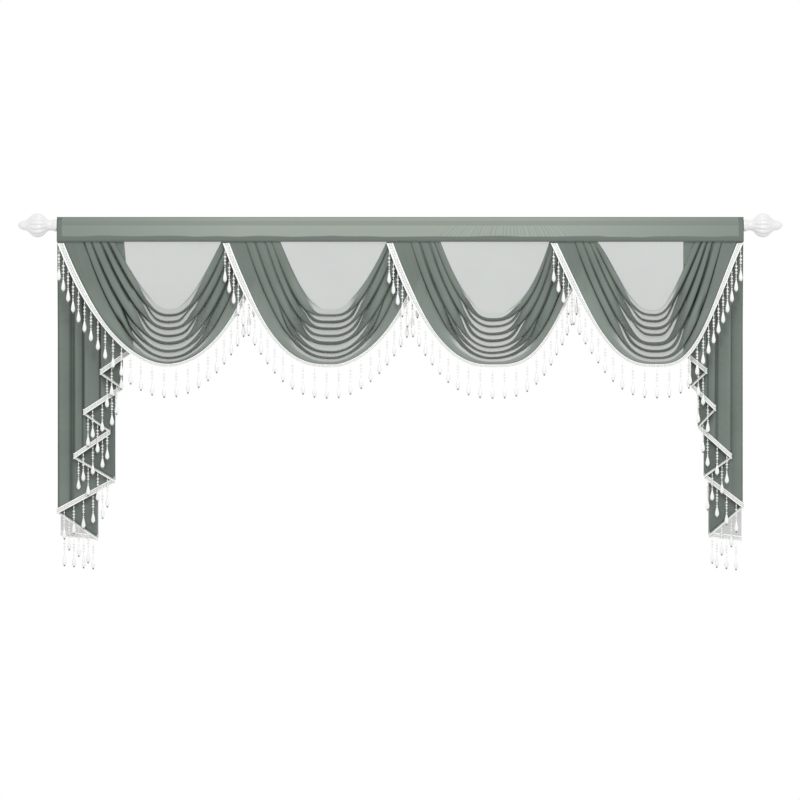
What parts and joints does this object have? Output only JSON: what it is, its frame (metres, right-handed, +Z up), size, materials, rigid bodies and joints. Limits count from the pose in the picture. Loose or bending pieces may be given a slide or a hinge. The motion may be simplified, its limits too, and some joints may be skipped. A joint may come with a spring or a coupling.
{
  "type": "swag and tail drape on a curtain rod",
  "caption": "Sheer sage-grey swag and tail valance edged with white galloon and hanging teardrop beads, sewn under a rod-pocket heading on a plain rod with fluted ball finials.",
  "frame": {"origin": "on the rod's axis, at the middle of its length", "axes": "+X along the rod, towards the right-hand finial seen from the front; +Z up; the drape faces -Y"},
  "size_m": [2.2286, 0.1152, 1.0543],
  "materials": {
    "voile": "sheer sage-grey voile, plain weave, matt with a faint silky sheen",
    "trim": "white lace galloon with raised edge cords",
    "beads": "clear and pearl-white moulded beads and teardrops",
    "rod": "white satin paint",
    "finial": "pearl-white fluted finial, glossy"
  },
  "bodies": {
    "root": {"rod": "rod", "finial_left": "finial", "finial_right": "finial", "heading": "voile", "swag_1": "voile", "swag_trim_1": "trim", "swag_2": "voile", "swag_trim_2": "trim", "swag_3": "voile", "swag_trim_3": "trim", "swag_4": "voile", "swag_trim_4": "trim", "tail_left": "voile", "tail_trim_left": "trim", "tail_right": "voile", "tail_trim_right": "trim"}
  },
  "joints": []
}
